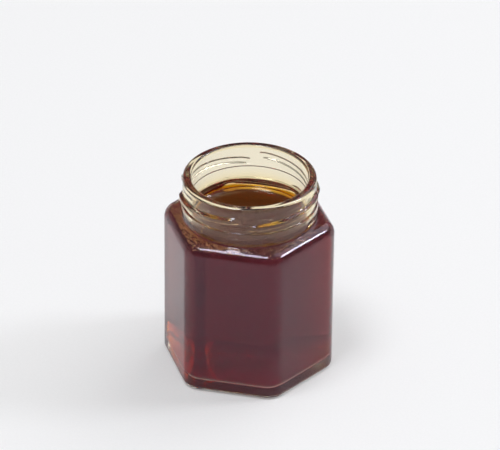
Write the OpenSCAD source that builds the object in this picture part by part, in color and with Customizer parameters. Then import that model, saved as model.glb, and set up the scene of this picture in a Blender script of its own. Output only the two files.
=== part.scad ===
// Six-sided glass honey jar with a four-start twist-off neck, filled with honey.
// Millimetres, +Z up. The origin is on the table, under the middle of the base.
// Two of the six flat sides face -Y and +Y.

/* [Body] */
// Width across the flat sides
flats_w = 69; // [66:0.5:84]
// Height of the shoulder above the table
body_h = 74.2; // [56:0.1:100]
// Radius of the six upright edges
corner_r = 8.6; // [7:0.1:11]
// Radius of the roll from the sides into the shoulder
shoulder_r = 5.3; // [3.5:0.1:6.5]
// Radius of the roll from the sides into the base
heel_r = 2.3; // [1:0.1:4]

/* [Glass] */
// Thickness of the side walls
wall_t = 2.7; // [2:0.05:3.3]
// Thickness of the shoulder
shoulder_t = 3.2; // [2.4:0.1:4]
// Thickness of the base at its edge
base_t = 4; // [3:0.1:6]
// Radius inside, between the walls and the base
floor_r = 4.6; // [2:0.1:5.5]
// Radius inside, between the walls and the shoulder
ceiling_r = 2.8; // [1:0.1:4]

/* [Base] */
// Width of the hollow under the base
push_up_d = 50; // [40:1:54]
// Depth of the hollow under the base
push_up_h = 1.4; // [0.5:0.1:3]

/* [Neck] */
// Height of the neck, from the shoulder to the lip
neck_h = 19.8; // [16.5:0.1:24]
// Outer width of the neck wall
neck_d = 59.2; // [49:0.1:60]
// Thickness of the neck wall
neck_t = 3.9; // [3:0.1:5]
// Radius inside, where the mouth opens into the shoulder
throat_r = 2.5; // [1:0.1:3]
// Radius of the hollow corner where the neck meets the shoulder
root_r = 1.4; // [0.6:0.1:1.6]
// Outer radius of the lip
lip_r = 1.6; // [0.8:0.1:2]
// Inner radius of the lip
lip_inner_r = 1.1; // [0.5:0.1:1.5]

/* [Collar] */
// How far the plain band below the threads stands out from the neck wall
collar_out = 0.65; // [0.3:0.05:1]
// Height of the band
collar_h = 6; // [3:0.1:6.5]
// Height of the band's lower edge above the shoulder
collar_up = 1.8; // [1.7:0.1:2.4]

/* [Threads] */
// Number of thread ridges round the neck
thread_count = 4; // [3:1:4]
// How far a ridge stands out from the neck wall
thread_out = 1.45; // [1:0.05:1.8]
// Height of a ridge where it leaves the neck wall
thread_w = 2.5; // [2:0.1:2.8]
// Part of a turn that one ridge covers, in degrees
thread_span = 78; // [40:1:80]
// Climb of a ridge from its low end to its high end
thread_rise = 3.4; // [2:0.1:4]
// Depth of the middle of a ridge below the lip
thread_down = 7.7; // [6:0.1:8]
// Turn of the first ridge's low end, anticlockwise from the middle of the front side
thread_start = 13; // [0:1:89]

/* [Honey] */
// Depth of the honey's surface below the lip
headspace = 22.4; // [20.5:0.1:60]

/* [Hidden] */
$fn = 96;

SIDES = 6;
TURN = 360 / SIDES;
FRONT = -90;                               // the front side faces -Y
PAST = 1;                                  // how far a shape runs into or past its neighbour
EDGE_FN = 36;                              // steps in a full turn of a rounded edge, six to each upright edge
MIN_FLAT = 0.2;                            // flat left on the end of a post whose edge is rounded
END_STEP = 0.06;                           // a ridge's rounded end is this much slimmer than the ridge

// The upright edges turn about six axes, which the inside of the walls shares.
axes_in = flats_w / 2 - corner_r;
axes_r = axes_in / cos(TURN / 2);
inner_r = corner_r - wall_t;

total_h = body_h + neck_h;
inner_top = body_h - shoulder_t;
neck_r = neck_d / 2;
bore_r = neck_r - neck_t;
honey_level = total_h - headspace;

// The hollow under the base, and the matching rise of the floor, are caps of one size of ball.
push_up_ball = (push_up_d * push_up_d / 4 + push_up_h * push_up_h) / (2 * push_up_h);

// A ridge is part of a ring of round section, most of it sunk in the neck wall.
bead_r = (thread_out * thread_out + thread_w * thread_w / 4) / (2 * thread_out);
bead_ring_r = neck_r + thread_out - bead_r;
bead_tilt = asin(thread_rise / (2 * bead_ring_r * sin(thread_span / 2)));
bead_z = total_h - thread_down;

// Quarter of a disc on the right of its centre, above it (way = 1) or below it (way = -1)
module quarter(r, way) {
    intersection() {
        circle(r = r);
        translate([0, min(way, 0) * r]) square(r);
    }
}

// Upright section of the post at an upright edge, with its low and high corners rounded
// by no more than the post can take
module post_section(edge_r, low, high, low_limit, high_limit) {
    low_r = min(low_limit, edge_r - MIN_FLAT);
    high_r = min(high_limit, edge_r - MIN_FLAT);
    translate([0, low + low_r]) square([edge_r, high - low - low_r - high_r]);
    translate([0, low]) square([edge_r - low_r, low_r]);
    translate([0, high - high_r]) square([edge_r - high_r, high_r]);
    translate([edge_r - low_r, low + low_r]) quarter(low_r, -1);
    translate([edge_r - high_r, high - high_r]) quarter(high_r, 1);
}

// Six-sided block with rounded edges, stretched over a round post at each upright edge
module rounded_block(edge_r, low, high, low_limit, high_limit) {
    hull() for (side = [0 : SIDES - 1]) rotate([0, 0, TURN * side]) translate([axes_r, 0, 0])
        rotate_extrude($fn = EDGE_FN) post_section(edge_r, low, high, low_limit, high_limit, $fn = EDGE_FN);
}

// Section of a round wall that sweeps out into a flat at flat_z, above it (way = 1) or below it (way = -1)
module flare_section(wall_r, flat_z, r, way) {
    difference() {
        translate([0, way > 0 ? flat_z - r : flat_z - PAST]) square([wall_r + r, r + PAST]);
        translate([wall_r + r, flat_z - way * r]) circle(r = r);
    }
}

// Cap of the push-up's ball, standing on the height z and running on below it
module push_up(z) {
    rotate_extrude() intersection() {
        translate([0, z + push_up_h - push_up_ball]) circle(r = push_up_ball, $fn = 360);
        translate([0, z - PAST]) square([axes_in, push_up_h + PAST]);
    }
}

module thread_ridge() {
    rotate([bead_tilt, 0, 0]) {
        rotate([0, 0, -thread_span / 2]) rotate_extrude(angle = thread_span)
            translate([bead_ring_r, 0]) circle(r = bead_r, $fn = 32);
        for (end = [-1, 1]) rotate([0, 0, end * thread_span / 2]) translate([bead_ring_r, 0, 0])
            sphere(r = bead_r - END_STEP, $fn = 32);
    }
}

module neck() {
    rotate_extrude() {
        translate([0, body_h - PAST]) square([neck_r, neck_h + PAST - lip_r]);
        translate([0, total_h - lip_r]) square([neck_r - lip_r, lip_r]);
        translate([neck_r - lip_r, total_h - lip_r]) quarter(lip_r, 1);
        flare_section(neck_r, body_h, root_r, -1);
        translate([0, body_h + collar_up]) square([neck_r, collar_h]);
        translate([neck_r, body_h + collar_up + collar_out]) square([collar_out, collar_h - 2 * collar_out]);
        translate([neck_r, body_h + collar_up + collar_out]) quarter(collar_out, -1);
        translate([neck_r, body_h + collar_up + collar_h - collar_out]) quarter(collar_out, 1);
    }
    for (ridge = [0 : thread_count - 1])
        rotate([0, 0, FRONT + thread_start + thread_span / 2 + 360 / thread_count * ridge])
            translate([0, 0, bead_z]) thread_ridge();
}

// Everything inside the glass, up through the mouth
module cavity() {
    difference() {
        rounded_block(inner_r, base_t, inner_top, floor_r, ceiling_r);
        push_up(base_t);
    }
    rotate_extrude() {
        translate([0, inner_top - PAST]) square([bore_r, total_h - inner_top + 2 * PAST]);
        flare_section(bore_r, inner_top, throat_r, -1);
        flare_section(bore_r, total_h, lip_inner_r, 1);
    }
}

module jar() {
    color([0.86, 0.85, 0.72, 0.35]) difference() {
        union() {
            rounded_block(corner_r, 0, body_h, heel_r, shoulder_r);
            neck();
        }
        cavity();
        push_up(0);
    }
}

module honey() {
    color([0.36, 0.13, 0.04]) intersection() {
        cavity();
        translate([-flats_w, -flats_w, 0]) cube([2 * flats_w, 2 * flats_w, honey_level]);
    }
}

jar();
honey();
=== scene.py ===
# %% [markdown]
# # A honey jar
#
# The object is a small six-sided jar of clear moulded glass, with a round neck that carries four
# short thread ridges for a twist-off lid, and it is filled with dark honey up to the bottom of the
# neck. Two things make such a jar look real: the glass is one closed shell with a true inside and
# a true outside, and the honey is a body of liquid that darkens with depth. Everything here is
# built round a measured model of the jar, which is loaded first and never changed.

# %% Load the measured model
import math
import random

import bmesh
import bpy
from mathutils import Matrix, Vector


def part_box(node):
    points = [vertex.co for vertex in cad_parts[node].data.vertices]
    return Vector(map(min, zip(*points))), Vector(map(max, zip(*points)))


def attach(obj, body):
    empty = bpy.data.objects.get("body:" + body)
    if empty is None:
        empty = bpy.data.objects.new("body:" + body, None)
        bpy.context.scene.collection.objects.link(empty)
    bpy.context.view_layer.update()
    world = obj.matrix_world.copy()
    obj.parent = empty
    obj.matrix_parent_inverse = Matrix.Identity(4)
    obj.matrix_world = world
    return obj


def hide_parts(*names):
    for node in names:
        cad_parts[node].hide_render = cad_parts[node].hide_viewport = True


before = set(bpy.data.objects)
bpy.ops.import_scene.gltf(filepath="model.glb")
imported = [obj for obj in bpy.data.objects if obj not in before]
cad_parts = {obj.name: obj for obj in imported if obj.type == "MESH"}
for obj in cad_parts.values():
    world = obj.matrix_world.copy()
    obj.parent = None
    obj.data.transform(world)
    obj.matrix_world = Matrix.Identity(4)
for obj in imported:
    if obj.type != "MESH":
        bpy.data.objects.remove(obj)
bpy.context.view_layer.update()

# %% [markdown]
# Sizes come from the model where it has them: the width over the flat sides, the full height, the
# thickness of the base and the level of the honey. The rest are the sizes of this kind of jar, in
# millimetres, and a single factor turns them into Blender's metres.

# %% Sizes in millimetres
MM = 0.001
jar_low, jar_high = [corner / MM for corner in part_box("jar")]
honey_low, honey_high = [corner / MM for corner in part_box("honey")]

FLATS = jar_high.y - jar_low.y       # width over two opposite flat sides
LIP_Z = jar_high.z                   # height of the whole jar
FLOOR_Z = honey_low.z                # top of the glass base, at its edge
LEVEL_Z = honey_high.z               # mean level of the honey
NECK_H = 19.8                        # from the shoulder to the lip
SHOULDER_Z = LIP_Z - NECK_H
CORNER_R = 8.6                       # the six upright edges
WALL = 2.7                           # thickness of the sides
SHOULDER_T = 2.3                     # thickness of the shoulder
CEILING_Z = SHOULDER_Z - SHOULDER_T
NECK_R = 29.6                        # outside of the neck wall
BORE_R = 25.7                        # inside of the neck wall
print("flats", round(FLATS, 2), "height", round(LIP_Z, 2), "honey level", round(LEVEL_Z, 2))

# %% [markdown]
# ## The camera
#
# It looks down on the jar from a little to the right of the front side. A long lens from nearly
# two metres away keeps the upright edges almost parallel, as in a product picture. The camera is
# turned about its own line of sight by half a degree.

# %% Camera
VIEW_AZIMUTH = 12.57                 # degrees, to the right of the front side
VIEW_ELEVATION = 31.75
VIEW_ROLL = 0.636
VIEW_DISTANCE = 1800
LENS_MM = 292.98
SENSOR_MM = 36
AIM_ASIDE, AIM_Z = 0.37, 68.27       # the point that the camera looks at


def turn_frame(azimuth, elevation):
    """Right, up and backward directions of a camera that looks at the jar from there."""
    a, e = math.radians(azimuth), math.radians(elevation)
    back = Vector((math.sin(a) * math.cos(e), -math.cos(a) * math.cos(e), math.sin(e)))
    right = Vector((math.cos(a), math.sin(a), 0))
    return right, back.cross(right), back


right, up, back = turn_frame(VIEW_AZIMUTH, VIEW_ELEVATION)
target = right * AIM_ASIDE + Vector((0, 0, AIM_Z))
roll = math.radians(VIEW_ROLL)
camera_x = right * math.cos(roll) + up * math.sin(roll)
camera_y = up * math.cos(roll) - right * math.sin(roll)

bpy.ops.object.camera_add(location=(target + back * VIEW_DISTANCE) * MM)
camera = bpy.context.object
camera.name = "camera"
camera.rotation_euler = Matrix((camera_x, camera_y, back)).transposed().to_euler()
camera.data.lens = LENS_MM
camera.data.sensor_width = SENSOR_MM
camera.data.clip_end = 20
bpy.context.scene.camera = camera
print("camera at", [round(c, 3) for c in camera.location])

# %% [markdown]
# ## Helpers for modelling
#
# Modelling by hand is a loop of two steps: select something, then run a tool on it. The first
# helper opens a piece for editing with nothing selected. The second selects the vertices, edges or
# faces that pass a test, such as "lies at this height", which is what a mouse would do.

# %% Selecting by place
SMALL = 1e-5                         # metres, under which two places count as one


def edit(piece, mode="EDGE"):
    """Opens one piece for editing, with nothing selected."""
    if bpy.context.object and bpy.context.object.mode == "EDIT":
        bpy.ops.object.mode_set(mode="OBJECT")
    bpy.ops.object.select_all(action="DESELECT")
    piece.select_set(True)
    bpy.context.view_layer.objects.active = piece
    bpy.ops.object.mode_set(mode="EDIT")
    bpy.context.tool_settings.mesh_select_mode = (mode == "VERT", mode == "EDGE", mode == "FACE")
    bpy.ops.mesh.select_all(action="DESELECT")


def pick(piece, kind, test):
    """Selects what passes the test, and nothing else. kind is verts, edges or faces."""
    bpy.ops.mesh.select_all(action="DESELECT")
    mesh = bmesh.from_edit_mesh(piece.data)
    chosen = [item for item in getattr(mesh, kind) if test(item)]
    for item in chosen:
        item.select_set(True)
    bmesh.update_edit_mesh(piece.data)
    return len(chosen)


def at_height(z):
    """A test: every vertex of the edge or face lies at the height z, in millimetres."""
    return lambda item: all(abs(vert.co.z - z * MM) < SMALL for vert in item.verts)


def open_edge_at(z):
    """A test: an edge at the height z that has a face on one side only."""
    return lambda edge: len(edge.link_faces) == 1 and at_height(z)(edge)


def done():
    """Closes the piece that is open for editing."""
    bpy.ops.object.mode_set(mode="OBJECT")


# %% [markdown]
# ## The six-sided body
#
# A real jar's outside takes the shape of its mould: six flat sides that meet in wide rounded
# edges, a soft roll into the shoulder and a tighter one into the base. The same tool makes the
# outside of the glass, the inside of the glass and the honey, so they stay parallel. It starts
# from a cylinder with six sides. Bevelling the upright edges first and the two rims second gives
# rounded corners where three bevels meet, with no seam. The top and bottom faces are then removed,
# because a neck or a domed floor goes there. Last, level and upright cuts divide the big flat
# sides into a grid, so that they hold no long slivers and each place has a face of its own to
# take a material.

# %% Shell tool
EDGE_STEPS = 14                      # faces round an upright edge
HIGH_STEPS, LOW_STEPS = 10, 7        # faces over the upper rounding, and over the lower one
GRID_LEVELS = 14
GRID_ANGLES = (-18, -12, -6, 0, 6, 12, 18)


def bevel(width, steps):
    """Rounds the selected edges; the width is in millimetres."""
    bpy.ops.mesh.bevel(offset=width * MM, segments=steps, profile=0.5, affect="EDGES",
                       clamp_overlap=False)


def six_sided_shell(name, flats, edge_r, low, high, low_r, high_r, open_at):
    """A six-sided shell with rounded edges, with no face at the heights in open_at."""
    bpy.ops.object.select_all(action="DESELECT")
    bpy.ops.mesh.primitive_cylinder_add(
        vertices=6, radius=flats / 2 / math.cos(math.radians(30)) * MM, depth=(high - low) * MM,
        location=(0, 0, (low + high) / 2 * MM), rotation=(0, 0, math.radians(30)))
    shell = bpy.context.object
    shell.name = name
    bpy.ops.object.transform_apply(location=True, rotation=True, scale=True)
    edit(shell)
    pick(shell, "edges", lambda e: abs(e.verts[0].co.z - e.verts[1].co.z) > SMALL)
    bevel(edge_r * math.tan(math.radians(30)), EDGE_STEPS)
    pick(shell, "edges", at_height(high))
    bevel(high_r, HIGH_STEPS)
    pick(shell, "edges", at_height(low))
    bevel(low_r, LOW_STEPS)
    for z in open_at:
        pick(shell, "faces", at_height(z))
        bpy.ops.mesh.delete(type="ONLY_FACE")
    for level in range(1, GRID_LEVELS):
        bpy.ops.mesh.select_all(action="SELECT")
        z = low + low_r + (high - high_r - low - low_r) * level / GRID_LEVELS
        bpy.ops.mesh.bisect(plane_co=(0, 0, z * MM), plane_no=(0, 0, 1))
    for side in range(3):
        for angle in GRID_ANGLES:
            bpy.ops.mesh.select_all(action="SELECT")
            turn = math.radians(60 * side + angle)
            bpy.ops.mesh.bisect(plane_co=(0, 0, 0), plane_no=(math.cos(turn), math.sin(turn), 0))
    done()
    width = max(v.co.x for v in shell.data.vertices) - min(v.co.x for v in shell.data.vertices)
    print(name, len(shell.data.polygons), "faces,", round(width / MM, 2), "mm over the edges")
    return shell


# %% [markdown]
# ## Round pieces
#
# The neck, the domed floor and the honey's surface are round. Each is drawn as half of its
# section, one point after another, by pulling a single vertex along, and is then spun round the
# upright axis. A round stretch of a section is an arc.

# %% Spinning tool
AROUND = 288                         # faces round the neck, each about 0.65 mm wide


def arc(centre, radius, start, end, steps):
    """Points (r, z) along an arc, with angles in degrees from the outward direction."""
    angles = [math.radians(start + (end - start) * i / steps) for i in range(steps + 1)]
    return [(centre[0] + radius * math.cos(a), centre[1] + radius * math.sin(a)) for a in angles]


def straight(start, end, step):
    """Points from start towards end, about a step apart, with both ends left out."""
    count = max(1, round(math.dist(start, end) / step))
    return [(start[0] + (end[0] - start[0]) * i / count, start[1] + (end[1] - start[1]) * i / count)
            for i in range(1, count)]


def spun(name, section):
    """Draws a section of (r, z) points in millimetres and spins it round the Z axis."""
    bpy.ops.object.select_all(action="DESELECT")
    bpy.ops.mesh.primitive_plane_add(size=MM)
    piece = bpy.context.object
    piece.name = name
    bpy.ops.object.mode_set(mode="EDIT")
    bpy.context.tool_settings.mesh_select_mode = (True, False, False)
    bpy.ops.mesh.select_all(action="SELECT")
    bpy.ops.mesh.merge(type="CENTER")
    places = [Vector((r * MM, 0, z * MM)) for r, z in section]
    bpy.ops.transform.translate(value=places[0])
    for here, there in zip(places, places[1:]):
        bpy.ops.mesh.extrude_region_move(TRANSFORM_OT_translate={"value": there - here})
    bpy.ops.mesh.select_all(action="SELECT")
    bpy.ops.mesh.spin(steps=AROUND, angle=math.tau, center=(0, 0, 0), axis=(0, 0, 1))
    bpy.ops.mesh.select_all(action="SELECT")
    bpy.ops.mesh.remove_doubles(threshold=SMALL / 2)
    done()
    print(name, len(piece.data.polygons), "faces")
    return piece


def joined(name, pieces, rings):
    """Joins open pieces into one closed shell, with a flat ring of faces at each given height."""
    bpy.ops.object.select_all(action="DESELECT")
    for piece in pieces:
        piece.select_set(True)
    bpy.context.view_layer.objects.active = pieces[0]
    bpy.ops.object.join()
    whole = bpy.context.object
    whole.name = name
    whole.data.name = name
    edit(whole)
    for z in rings:
        pick(whole, "edges", open_edge_at(z))
        bpy.ops.mesh.fill(use_beauty=True)
    bpy.ops.mesh.select_all(action="SELECT")
    bpy.ops.mesh.remove_doubles(threshold=SMALL / 2)
    bpy.ops.mesh.normals_make_consistent(inside=False)
    done()
    report(whole)
    return whole


def report(piece):
    """Prints a closed piece's faces, its open edges and what it would hold."""
    mesh = bmesh.new()
    mesh.from_mesh(piece.data)
    gaps = sum(not edge.is_manifold for edge in mesh.edges)
    print(piece.name, len(mesh.faces), "faces,", gaps, "open edges,",
          round(mesh.calc_volume() / MM ** 3 / 1000, 1), "ml")
    mesh.free()


def combine(piece, tool, how):
    """Adds a closed tool to a closed piece, or cuts it away, and removes the tool."""
    bpy.ops.object.select_all(action="DESELECT")
    piece.select_set(True)
    bpy.context.view_layer.objects.active = piece
    modifier = piece.modifiers.new(how.lower(), "BOOLEAN")
    modifier.operation = how
    modifier.object = tool
    modifier.solver = "EXACT"
    bpy.ops.object.modifier_apply(modifier=modifier.name)
    bpy.data.objects.remove(tool)
    report(piece)


# %% [markdown]
# ## The glass
#
# The neck is first a solid plug. Its section runs from inside the body, out to the hollow corner
# at the shoulder, over the plain collar, up the wall and round the lip. The neck wall is cut into
# rows about a third of a millimetre high, because the thread ridges are raised from it.

# %% Neck
ROOT_R = 1.4
COLLAR_LOW, COLLAR_HIGH, COLLAR_OUT = SHOULDER_Z + 1.8, SHOULDER_Z + 7.8, 0.65
COLLAR_ROW, WALL_ROW = 1.2, 0.34     # height of the rows of faces on the collar and the wall
LIP_R, LIP_INNER_R = 1.6, 1.1
LIP_W = 6                            # flat ring on top of the plug, wider than the wall
THROAT_R = 1.0
PLUG_R = NECK_R + ROOT_R + 0.8       # the part of the plug that is sunk into the body
PLUG_LOW_Z, PLUG_HIGH_Z = SHOULDER_Z - 2, SHOULDER_Z - 0.6

neck_section = (
    [(0, PLUG_LOW_Z), (PLUG_R, PLUG_LOW_Z), (PLUG_R, PLUG_HIGH_Z)]
    + arc((NECK_R + ROOT_R, SHOULDER_Z + ROOT_R), ROOT_R, 270, 180, 6)
    + arc((NECK_R, COLLAR_LOW + COLLAR_OUT), COLLAR_OUT, -90, 0, 6)
    + straight((NECK_R + COLLAR_OUT, COLLAR_LOW + COLLAR_OUT),
               (NECK_R + COLLAR_OUT, COLLAR_HIGH - COLLAR_OUT), COLLAR_ROW)
    + arc((NECK_R, COLLAR_HIGH - COLLAR_OUT), COLLAR_OUT, 0, 90, 6)
    + straight((NECK_R, COLLAR_HIGH), (NECK_R, LIP_Z - LIP_R), WALL_ROW)
    + arc((NECK_R - LIP_R, LIP_Z - LIP_R), LIP_R, 0, 90, 9)
    + [(NECK_R - LIP_W, LIP_Z), (0, LIP_Z)]
)
neck = spun("neck", neck_section)

# %% [markdown]
# Each thread ridge covers a bit less than a quarter turn and climbs as it goes, so that a lid's
# lugs pull down as they slide along it. On a moulded jar a ridge isn't a sharp screw thread but a
# soft swelling with tapered ends. So the rows of the neck wall are pushed outwards where a ridge
# passes, by a rounded hump.

# %% Thread ridges
RIDGES = 4
RIDGE_START = 13                     # degrees anticlockwise from the middle of the front side
RIDGE_SPAN = 80
RIDGE_RISE = 3.4
RIDGE_MID_Z = LIP_Z - 7.7
RIDGE_OUT = 1.6
RIDGE_HALF = 1.75                    # half of a ridge's height at its foot
RIDGE_FULLNESS = 1.9                 # how soon a ridge reaches its full height
RIDGE_TAPER = 9                      # degrees over which an end dies away
RIDGE_TIP = 3                        # degrees by which that starts outside the span
BEFORE = 5                           # degrees before the start that still belong to a ridge
SEAM_AZIMUTH = 30
SEAM_HALF = 0.7                      # degrees
SEAM_OUT = 0.12
ROW_CLEAR = 0.2                      # what stays plain next to the collar and the lip


def smooth(t):
    """Rises gently from 0 to 1 as t does."""
    t = min(1, max(0, t))
    return t * t * (3 - 2 * t)


def ridge_height(azimuth, z):
    """How far the ridges stand out at a place on the neck wall, in millimetres."""
    along = (azimuth - RIDGE_START + BEFORE) % (360 / RIDGES) - BEFORE
    start = smooth((along + RIDGE_TIP) / RIDGE_TAPER)
    end = smooth((RIDGE_SPAN + RIDGE_TIP - along) / RIDGE_TAPER)
    off = abs(z - RIDGE_MID_Z - RIDGE_RISE * (along / RIDGE_SPAN - 0.5))
    return RIDGE_OUT * (start * end) * smooth(RIDGE_FULLNESS * (1 - off / RIDGE_HALF))


def seam_height(azimuth):
    """The fine line that the two halves of the mould leave, at two opposite corners."""
    off = abs((azimuth - SEAM_AZIMUTH + 90) % 180 - 90)
    return SEAM_OUT if off < SEAM_HALF else 0


def on_ridged_wall(radius, z):
    """Whether a vertex of the neck is on the plain wall between the collar and the lip."""
    return abs(radius - NECK_R) < 0.01 and COLLAR_HIGH + ROW_CLEAR < z < LIP_Z - LIP_R - ROW_CLEAR


moved = 0
for vert in neck.data.vertices:
    radius = math.hypot(vert.co.x, vert.co.y) / MM
    if on_ridged_wall(radius, vert.co.z / MM):
        azimuth = math.degrees(math.atan2(vert.co.x, -vert.co.y))
        out = max(ridge_height(azimuth, vert.co.z / MM), seam_height(azimuth))
        grow = 1 + out / radius
        vert.co.x *= grow
        vert.co.y *= grow
        moved += grow > 1
print(RIDGES, "ridges raised from", moved, "vertices")

# %% [markdown]
# ## The base
#
# The bottom of such a jar is pushed up a little in the middle, so that it stands on a ring and
# doesn't rock. Both faces of the glass there are shallow domes, each an arc spun round the axis.

# %% Domes of the base
DOME_R = 25
DOME_H = 1.4


def dome(name, rim_z):
    """A shallow dome whose rim is at rim_z."""
    ball = (DOME_R ** 2 + DOME_H ** 2) / 2 / DOME_H
    half = math.degrees(math.asin(DOME_R / ball))
    return spun(name, arc((0, rim_z + DOME_H - ball), ball, 90 - half, 90, 9))


push_up = dome("push_up", 0)
floor_dome = dome("floor_dome", FLOOR_Z)

# %% [markdown]
# ## The glass in one piece
#
# The glass is put together from three closed solids: the outside with its push-up, the neck that
# is added to it, and the cavity that is cut away. The outside and the cavity come from the tool
# for six-sided shells, each closed with its own dome. Faces could be bridged from the six-sided
# shoulder to the round neck instead, but they twist where the two outlines don't match. A
# boolean keeps the shell closed and leaves both outlines as they are.

# %% Outside of the body
HEEL_R, SHOULDER_R = 2.3, 5.3
jar = joined("glass_jar", [
    six_sided_shell("outside", FLATS, CORNER_R, 0, SHOULDER_Z, HEEL_R, SHOULDER_R, [0]),
    push_up], [0])

# %% Cavity
FLOOR_R, CEILING_R = 4.6, 2.8
ABOVE_LIP_Z = LIP_Z + 1              # the cavity passes through the top of the plug
BORE_ROW = 0.9
bore_section = (
    arc((BORE_R + THROAT_R, CEILING_Z + THROAT_R), THROAT_R, 270, 180, 8)
    + straight((BORE_R, CEILING_Z + THROAT_R), (BORE_R, LIP_Z - LIP_INNER_R), BORE_ROW)
    + arc((BORE_R + LIP_INNER_R, LIP_Z - LIP_INNER_R), LIP_INNER_R, 180, 90, 7)
    + [(BORE_R + LIP_INNER_R, ABOVE_LIP_Z), (0, ABOVE_LIP_Z)]
)
cavity = joined("cavity", [
    six_sided_shell("inside", FLATS - 2 * WALL, CORNER_R - WALL, FLOOR_Z, CEILING_Z,
                    FLOOR_R, CEILING_R, [FLOOR_Z, CEILING_Z]),
    spun("bore", bore_section), floor_dome], [CEILING_Z, FLOOR_Z])

# %% Neck added, cavity cut away
report(neck)
combine(jar, neck, "UNION")
combine(jar, cavity, "DIFFERENCE")

# %% [markdown]
# ## The honey
#
# The honey fills the body and ends in the throat of the neck. It is made by the same tools as the
# inside of the glass, but a quarter of a millimetre larger, so that its skin lies just within the
# wall and no air shows between them. At the glass the liquid climbs a little. The curve it takes
# is known: the height it falls to at a distance from the wall follows from the capillary length,
# which is about 2 mm for honey. The still surface lies a little under the mean level, as the
# liquid at the wall has to come from somewhere. An attribute on the points of the free surface
# tells the material later which part of the honey meets the air.

# %% Meniscus
INTO_WALL = 0.25
CAPILLARY = 2.08
STILL_DROP = 0.9                     # from the mean level to the still surface
STILL_Z = LEVEL_Z - STILL_DROP
CLIMB = CEILING_Z + THROAT_R - LEVEL_Z + STILL_DROP
CURVE_REACH = 15                     # how far from the wall the curve is followed
NEAR = 0.1                           # a tolerance for places found by their distance


def meniscus(steps):
    """Points (distance from the wall, height above the still surface), from the wall inwards."""
    def reach(h):
        return (CAPILLARY * math.acosh(2 * CAPILLARY / h)
                - math.sqrt(4 * CAPILLARY ** 2 - h ** 2))
    heights = [CLIMB * (1 - i / steps) ** 1.6 for i in range(steps)]
    return [(reach(h) - reach(CLIMB), h) for h in heights]


curve = [(BORE_R - away, STILL_Z + h) for away, h in meniscus(14) if away < CURVE_REACH]
print("the honey climbs", round(CLIMB, 2), "mm up the glass")

# %% Body of honey
honey_section = (
    arc((BORE_R + THROAT_R, CEILING_Z + THROAT_R), THROAT_R - INTO_WALL, 270, 180, 8)
    + curve
    + [(r, STILL_Z) for r in (10, 5, 0)]
)
honey_body = six_sided_shell("honey_body", FLATS - 2 * WALL + 2 * INTO_WALL,
                             CORNER_R - WALL + INTO_WALL, FLOOR_Z - INTO_WALL,
                             CEILING_Z + INTO_WALL, FLOOR_R + INTO_WALL, CEILING_R + INTO_WALL,
                             [FLOOR_Z - INTO_WALL, CEILING_Z + INTO_WALL])
honey = joined("honey_fill", [honey_body, spun("honey_top", honey_section),
                              dome("honey_floor", FLOOR_Z - INTO_WALL)],
               [CEILING_Z + INTO_WALL, FLOOR_Z - INTO_WALL])

# %% Where the honey meets the air
open_to_air = honey.data.attributes.new("open_to_air", "FLOAT", "POINT")
for vert in honey.data.vertices:
    radius = math.hypot(vert.co.x, vert.co.y) / MM
    if radius < BORE_R + NEAR / 2 and vert.co.z / MM > STILL_Z - NEAR:
        open_to_air.data[vert.index].value = 1
print(sum(item.value for item in open_to_air.data), "vertices of the honey meet the air")

# %% [markdown]
# ## Shading
#
# A mould leaves flat sides and round edges that run into each other without a crease. Smooth
# shading alone would make the big flat sides look like pillows, because each corner's normal is
# an average. Weighted normals let the largest face at a corner decide, so the flats stay flat
# and only the narrow roundings shade as round.

# %% Smooth shading that keeps the flat sides flat
for piece in (jar, honey):
    bpy.ops.object.select_all(action="DESELECT")
    piece.select_set(True)
    bpy.context.view_layer.objects.active = piece
    bpy.ops.object.shade_smooth()
    weigh = piece.modifiers.new("weighted_normals", "WEIGHTED_NORMAL")
    weigh.weight = 100
    bpy.ops.object.modifier_apply(modifier=weigh.name)
    print(piece.name, "shaded by face area")

# %% [markdown]
# ## Materials
#
# The jar needs only two real materials: clear glass and dark honey. Both are seen through each
# other, so what matters is the border between them. The honey's skin lies a quarter of a
# millimetre inside the glass, so there is never a sheet of air between the two. At a wetted
# border real glass reflects almost nothing, because honey bends light nearly as much as glass
# does. A renderer meets two skins there and would reflect at both, and the honey would turn
# grey. The wetted faces therefore get their own slot with a black specular tint.

# %% Helpers for materials
def colour(hex_code):
    """An sRGB hex colour as the linear RGBA that a shader works with."""
    parts = [int(hex_code[i:i + 2], 16) / 255 for i in (1, 3, 5)]
    return [p / 12.92 if p <= 0.04045 else ((p + 0.055) / 1.055) ** 2.4 for p in parts] + [1]


def new_material(name):
    """An empty material, with its nodes and links at hand."""
    material = bpy.data.materials.new(name)
    material.use_nodes = True
    material.node_tree.nodes.clear()
    return material.node_tree.nodes, material.node_tree.links, material


def add(nodes, links, kind, settings=None, **inputs):
    """Adds a node. A setting is a property of the node; an input is a value or another's output."""
    node = nodes.new(kind)
    for key, value in (settings or {}).items():
        setattr(node, key, value)
    for key, value in inputs.items():
        socket = node.inputs[key.replace("_", " ")]
        if isinstance(value, bpy.types.NodeSocket):
            links.new(value, socket)
        else:
            socket.default_value = value
    return node


def pattern_scale(spacing):
    """The scale of a noise whose lumps are this many millimetres apart."""
    return 1 / (spacing * MM)


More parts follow.
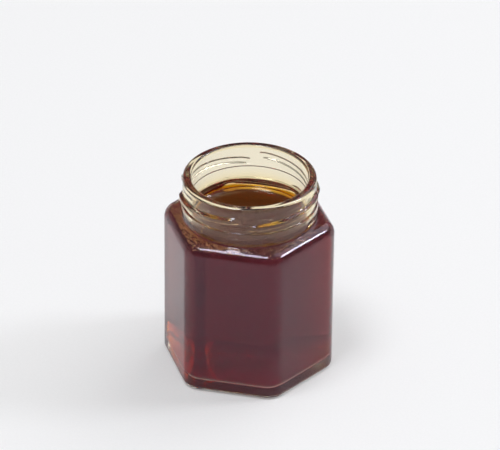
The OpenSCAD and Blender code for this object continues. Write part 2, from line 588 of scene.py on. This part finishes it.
# %% [markdown]
# ## Glass
#
# Soda-lime glass is blown into an iron mould. The mould chills the skin, so the walls carry slow
# waves about 17 mm apart that bend a reflection without blurring it. The glass is smooth, so its
# roughness is zero, and it bends light by 1.52, as window glass does. It is clear, and it looks
# straw-coloured where much of it is seen edge on, as in the neck.
#
# Three slots share one recipe. The first is the bare outside. The second is the wetted inside,
# with the black specular tint and a faint diffuse layer added to it. That layer is painted glow:
# its plum colour stands in for the light that comes out through the honey and gives the sides
# their colour in soft light, and it is painted redder towards the foot. The lamps light it as
# they light any diffuse surface. A scattering volume in the honey would give such a glow for
# real, and it would take far longer to render. The third is the bore above the honey, where a
# film of honey still clings. It is deep amber at the honey's edge and fades out on the way up,
# so its colour goes by height.

# %% Glass
WAVES_APART = 50 / 3
WAVE_DEPTH = 0.4
PAINTED_GLOW_LOW_Z, PAINTED_GLOW_HIGH_Z = 8, 46      # the painted glow turns from red to plum between these heights


def tint_by_height(nodes, links, place, low_z, high_z, colours):
    """Colours over the height of the jar, evenly spaced from low_z to high_z."""
    height = add(nodes, links, "ShaderNodeSeparateXYZ", Vector=place.outputs["Object"])
    share = add(nodes, links, "ShaderNodeMapRange", Value=height.outputs["Z"],
                From_Min=low_z * MM, From_Max=high_z * MM)
    ramp = add(nodes, links, "ShaderNodeValToRGB", Fac=share.outputs[0])
    ramp.color_ramp.elements[0].color = colour(colours[0])
    ramp.color_ramp.elements[1].color = colour(colours[-1])
    for step, code in enumerate(colours[1:-1], 1):
        ramp.color_ramp.elements.new(step / (len(colours) - 1)).color = colour(code)
    return ramp.outputs[0]


def glass(name, specular_tint, colours, low_z, high_z, painted_glow=None):
    """Mould-blown glass: clear and glossy, with slow waves that bend what it reflects."""
    nodes, links, material = new_material(name)
    place = add(nodes, links, "ShaderNodeTexCoord")
    waves = add(nodes, links, "ShaderNodeTexNoise", Vector=place.outputs["Object"],
                Scale=pattern_scale(WAVES_APART), Detail=1.0, Roughness=0.4)
    bump = add(nodes, links, "ShaderNodeBump", Height=waves.outputs["Fac"], Strength=0.1,
               Distance=WAVE_DEPTH * MM)
    shader = add(nodes, links, "ShaderNodeBsdfPrincipled",
                 Base_Color=tint_by_height(nodes, links, place, low_z, high_z, colours),
                 Specular_Tint=colour(specular_tint), Roughness=0.0, IOR=1.52,
                 Transmission_Weight=1.0, Normal=bump.outputs["Normal"])
    surface = shader.outputs[0]
    # The optional diffuse layer is painted glow: its colour by height stands in for light that
    # comes out through the honey.
    if painted_glow:
        diffuse_layer = add(nodes, links, "ShaderNodeBsdfDiffuse",
                    Color=tint_by_height(nodes, links, place, PAINTED_GLOW_LOW_Z, PAINTED_GLOW_HIGH_Z, painted_glow))
        both = add(nodes, links, "ShaderNodeAddShader")
        links.new(surface, both.inputs[0])
        links.new(diffuse_layer.outputs[0], both.inputs[1])
        surface = both.outputs[0]
    add(nodes, links, "ShaderNodeOutputMaterial", Surface=surface)
    return material


# %% [markdown]
# ## Honey
#
# Dark forest honey is a clear liquid of deep colour. A thin edge of it glows golden, a finger's
# breadth is red, and the whole jar is nearly black. Volume absorption does just that, because it
# takes the blue first, then the green, and leaves some of the red. The sides keep no reflection
# of their own, as the glass already has one. The free top is the only part that meets the air:
# there the honey is glossy and very slightly cloudy. The point attribute that was stored with
# the mesh tells the two apart. Honey bends light by 1.48 to 1.50, a little less than glass.

# %% Honey
CLOUD_AT_TOP = 0.08


def dark_honey():
    """Dark, glossy honey. Its absorption colour and density are set on the node itself."""
    nodes, links, material = new_material("dark_forest_honey")
    surface = add(nodes, links, "ShaderNodeAttribute", {"attribute_name": "open_to_air"})
    shader = add(nodes, links, "ShaderNodeBsdfPrincipled", Base_Color=(1, 1, 1, 1),
                 Specular_Tint=surface.outputs["Color"], Roughness=0.0, IOR=1.48,
                 Transmission_Weight=1.0)
    diffuse_layer = add(nodes, links, "ShaderNodeBsdfDiffuse", Color=colour("#E87E08"))
    share = add(nodes, links, "ShaderNodeMath", {"operation": "MULTIPLY"})
    links.new(surface.outputs["Fac"], share.inputs[0])
    share.inputs[1].default_value = CLOUD_AT_TOP
    both = add(nodes, links, "ShaderNodeMixShader", Fac=share.outputs[0])
    links.new(shader.outputs[0], both.inputs[1])
    links.new(diffuse_layer.outputs[0], both.inputs[2])
    depth = add(nodes, links, "ShaderNodeVolumeAbsorption", Color=(0.917, 0.808, 0.0, 1),
                Density=600.0)
    add(nodes, links, "ShaderNodeOutputMaterial", Surface=both.outputs[0],
        Volume=depth.outputs[0])
    return material


# %% [markdown]
# ## Which face is which
#
# The slots are given out in edit mode, as by hand: faces are selected by their place, and the
# slot is assigned to them. A face touches honey when it is on the inner wall and lower than the
# line that the meniscus climbs to. The bore above that line has the film. Assigning by place
# rather than by hand also works after a size has changed.

# %% Give the glass faces their slots
STRAW_LOW_Z, STRAW_HIGH_Z = 74.5, 78  # where the neck's straw tint comes in
FILM_LOW_Z, FILM_HIGH_Z = 73.3, 83    # where the film of honey thins out


def across_flats(place):
    """How far a place is from the axis, measured square to the nearest side, in millimetres."""
    turns = [math.radians(30 + 60 * side) for side in range(6)]
    return max(place.x * math.cos(t) + place.y * math.sin(t) for t in turns) / MM


def touches_honey(face):
    """A test: the face is on the inside, below the line that the meniscus climbs to."""
    centre = face.calc_center_median()
    z = centre.z / MM
    in_body = (FLOOR_Z - NEAR < z < CEILING_Z + NEAR
               and across_flats(centre) < FLATS / 2 - WALL + NEAR / 2)
    in_throat = (z < CONTACT_Z
                 and math.hypot(centre.x, centre.y) / MM < BORE_R + THROAT_R + NEAR / 2)
    return z > FLOOR_Z - NEAR and (in_body or in_throat)


def in_bore(face):
    """A test: the face is on the bore, above that line and below the round of the lip."""
    centre = face.calc_center_median()
    radius = math.hypot(centre.x, centre.y) / MM
    return CONTACT_Z <= centre.z / MM < LIP_Z - LIP_INNER_R and radius < BORE_R + NEAR


CONTACT_Z = STILL_Z + CLIMB
# The bare outside: clear, with a hint of straw in the neck, and a slightly blue gloss.
jar.data.materials.append(glass("moulded_soda_lime_glass", "#E4EAFF",
                                ["#FCFDF9", "#F8EBC6", "#F8EBC6"], STRAW_LOW_Z, STRAW_HIGH_Z))
# The wetted inside: no gloss of its own, only a painted glow, red at the foot and plum above, for
# the light that comes through the honey behind it.
jar.data.materials.append(glass("glass_against_honey", "#000000",
                                ["#FFFFFF", "#FFFFFF"], 0, CEILING_Z,
                                painted_glow=["#9A0C30", "#923A56"]))
# The bore above the honey: a film that is amber at the honey's edge and clears on the way up.
jar.data.materials.append(glass("glass_with_film_of_honey", "#E4EAFF",
                                ["#F0A000", "#F8DE96", "#FDF3D8", "#FFFCF4"],
                                FILM_LOW_Z, FILM_HIGH_Z))
edit(jar, "FACE")
for slot, test in ((1, touches_honey), (2, in_bore)):
    print(pick(jar, "faces", test), "faces take", jar.data.materials[slot].name)
    jar.active_material_index = slot
    bpy.ops.object.material_slot_assign()
done()
honey.data.materials.append(dark_honey())

# %% [markdown]
# ## Floor
#
# The jar stands on a pale, matt table of frosted acrylic that lets a little light through from
# below, as a table for product pictures does. That keeps the shadows pale and puts some red
# into the foot of the honey. The frosting is a fine grain, drawn about a millimetre wide, which
# is coarser than the real one, so that it shows at all. The floor isn't part of the object.

# %% Floor
FLOOR_SIZE = 6
FLOOR_GAP = 0.05
FROST_GRAIN = 1.1
GLOW = 0.22                          # light that comes up through the table
bpy.ops.mesh.primitive_plane_add(size=FLOOR_SIZE, location=(0, 0, -FLOOR_GAP * MM))
floor = bpy.context.object
floor.name = "floor"
nodes, links, table = new_material("frosted_acrylic_table")
place = add(nodes, links, "ShaderNodeTexCoord")
grain = add(nodes, links, "ShaderNodeTexNoise", Vector=place.outputs["Object"],
            Scale=pattern_scale(FROST_GRAIN), Detail=2.0)
tone = add(nodes, links, "ShaderNodeValToRGB", Fac=grain.outputs["Fac"])
tone.color_ramp.elements[0].color = colour("#D0D0D1")
tone.color_ramp.elements[1].color = colour("#D8D8D9")
shader = add(nodes, links, "ShaderNodeBsdfPrincipled", Base_Color=tone.outputs[0], Roughness=0.9,
             Emission_Color=(1, 1, 1, 1), Emission_Strength=GLOW)
add(nodes, links, "ShaderNodeOutputMaterial", Surface=shader.outputs[0])
floor.data.materials.append(table)
print("floor", FLOOR_SIZE, "m wide,", FLOOR_GAP, "mm under the jar")

# %% [markdown]
# ## Lights
#
# Three soft boxes. The large key light stands behind the jar on the right, so the broad, soft
# shadow falls to the left and towards the viewer. The two small ones are there for the glass
# alone: a rounded edge mirrors a lamp as a thin white line, and each of them draws the line
# along one of the two front edges of the shoulder.

# %% Lights
LIT_Z = 50                           # the height on the jar that every lamp faces


def softbox(name, azimuth, elevation, distance, width, height, power, tint):
    """A soft box that faces the jar. Azimuth and elevation are as for the camera."""
    side, top, away = turn_frame(azimuth, elevation)
    bpy.ops.object.light_add(type="AREA", location=away * distance + Vector((0, 0, LIT_Z * MM)))
    lamp = bpy.context.object
    lamp.name = name
    lamp.rotation_euler = Matrix((side, top, away)).transposed().to_euler()
    lamp.data.shape = "RECTANGLE"
    lamp.data.size, lamp.data.size_y = width, height
    lamp.data.energy = power
    lamp.data.color = colour(tint)[:3]
    print(name, power, "W at azimuth", azimuth, "elevation", elevation)


softbox("key", azimuth=144, elevation=48, distance=3.2, width=2.6, height=2.6, power=37,
        tint="#FFFFFF")
softbox("right_edge", azimuth=111, elevation=38, distance=3, width=0.6, height=0.45, power=22,
        tint="#F8FAFF")
softbox("front_edge", azimuth=-35, elevation=71, distance=2.5, width=0.8, height=0.7, power=24,
        tint="#FCFCFF")

# %% [markdown]
# ## Studio around the jar
#
# Glass shows the room that it stands in. A bright band at the horizon is the white backdrop
# that shines through the neck. Higher up the room is dark, which keeps the flat sides deep in
# colour, and towards the ceiling it gets brighter again, which fills the shadows. The world's
# colour therefore goes by the height of the direction. Many bounces are needed, because light
# passes up to eight skins of glass and honey on its way through the neck.

# %% Studio around the jar
HORIZON, CEILING = 0.60, 0.68
WALLS = ((0.15, 0.20), (0.55, 0.17), (0.8, 0.42))   # (upward share of a direction, its grey)
SKINS_DEEP = 24


def near_white(grey):
    """A grey that is a trace warm, as painted walls are."""
    return (grey, grey, grey * 0.99, 1)


world = bpy.data.worlds.new("studio")
bpy.context.scene.world = world
world.use_nodes = True
nodes, links = world.node_tree.nodes, world.node_tree.links
sky = add(nodes, links, "ShaderNodeTexCoord")
height = add(nodes, links, "ShaderNodeSeparateXYZ", Vector=sky.outputs["Generated"])
walls = add(nodes, links, "ShaderNodeValToRGB", Fac=height.outputs["Z"])
walls.color_ramp.elements[0].color = near_white(HORIZON)
walls.color_ramp.elements[1].color = near_white(CEILING)
for share, grey in WALLS:
    walls.color_ramp.elements.new(share).color = near_white(grey)
links.new(walls.outputs[0], nodes["Background"].inputs[0])
bpy.context.scene.view_settings.view_transform = "Standard"
bpy.context.scene.cycles.max_bounces = SKINS_DEEP
bpy.context.scene.cycles.transmission_bounces = SKINS_DEEP
print("studio: horizon", HORIZON, "ceiling", CEILING)

# %% [markdown]
# ## Bubbles under the shoulder
#
# Honey is thick, so the air that was stirred in when the jar was filled rises slowly and stays
# under the shoulder as a froth of specks, crowded on one side. Each speck is a ball of twenty
# faces, scattered by a seeded random draw, so that every run gives the same froth. Real
# bubbles are hollow and mirror the light from within; at a fifth of a millimetre they just look
# like pale grains, so small solid balls with a satin surface do as well and render sooner.

# %% Bubbles under the shoulder
random.seed(7)
BUBBLES = 2200
CROWDED_AZIMUTH = -52
CROWD_HALF, CROWD_FADE = 75, 60      # degrees: half the crowd's width, and its fading part
ELSEWHERE = 0.16                     # share of bubbles that stay far from the crowd
FROM_BORE, FROM_WALL = 1.5, 0.9      # the froth keeps this far from the bore and the side
SMALLEST, USUAL, LARGEST = 0.1, 0.16, 0.32   # radii
HANG = 0.5                           # its square is the most that a bubble hangs down


def crowding(azimuth):
    """The share of bubbles that stay at an azimuth: all on the crowded side, few elsewhere."""
    apart = abs((azimuth - CROWDED_AZIMUTH + 180) % 360 - 180)
    return ELSEWHERE + (1 - ELSEWHERE) * smooth((CROWD_HALF - apart) / CROWD_FADE)


froth = bmesh.new()
placed = 0
while placed < BUBBLES:
    azimuth = random.uniform(-180, 180)
    if random.random() > crowding(azimuth):
        continue
    turn = math.radians(azimuth)
    out = Vector((math.sin(turn), -math.cos(turn), 0))
    edge = across_flats(out * MM)
    reach = random.uniform(BORE_R + FROM_BORE, (FLATS / 2 - WALL - FROM_WALL) / edge)
    size = random.uniform(SMALLEST, USUAL) + (LARGEST - USUAL) * random.random() ** 3
    inset = max(0, reach * edge - (FLATS / 2 - WALL - CEILING_R))
    fall = CEILING_R - math.sqrt(CEILING_R ** 2 - inset ** 2)
    z = CEILING_Z - fall - size - random.uniform(0, HANG) ** 2
    bmesh.ops.create_icosphere(froth, subdivisions=1, radius=size * MM,
                               matrix=Matrix.Translation((out * reach + Vector((0, 0, z))) * MM))
    placed += 1
froth_mesh = bpy.data.meshes.new("air_bubbles")
froth.to_mesh(froth_mesh)
froth.free()
bubbles = bpy.data.objects.new("air_bubbles", froth_mesh)
bpy.context.collection.objects.link(bubbles)
for face in froth_mesh.polygons:
    face.use_smooth = True
print(BUBBLES, "bubbles,", len(froth_mesh.polygons), "faces")

# %% The look of a bubble
# Trapped air in honey: pale grains, some creamier and some more amber, in patches of 2 mm.
FROTH_PATCH = 2
nodes, links, froth_look = new_material("air_bubbles_in_honey")
place = add(nodes, links, "ShaderNodeTexCoord")
patches = add(nodes, links, "ShaderNodeTexNoise", Vector=place.outputs["Object"],
              Scale=pattern_scale(FROTH_PATCH))
tone = add(nodes, links, "ShaderNodeValToRGB", Fac=patches.outputs["Fac"])
tone.color_ramp.elements[0].color = colour("#E4BE78")
tone.color_ramp.elements[1].color = colour("#FBE8BC")
shader = add(nodes, links, "ShaderNodeBsdfPrincipled", Base_Color=tone.outputs[0], Roughness=0.35)
add(nodes, links, "ShaderNodeOutputMaterial", Surface=shader.outputs[0])
froth_mesh.materials.append(froth_look)
print(froth_look.name, "goes on", bubbles.name)

# %% [markdown]
# ## Fasten the pieces to the measured model
#
# The jar doesn't move, so all three pieces ride on its one body, the root. The modelled glass
# and honey take the place of the two plain solids, and the froth is an extra piece.

# %% Fasten the pieces to the measured model
for piece, node in ((jar, "jar"), (honey, "honey")):
    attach(piece, "root")
    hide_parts(node)
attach(bubbles, "root")
print("three pieces ride on the root")
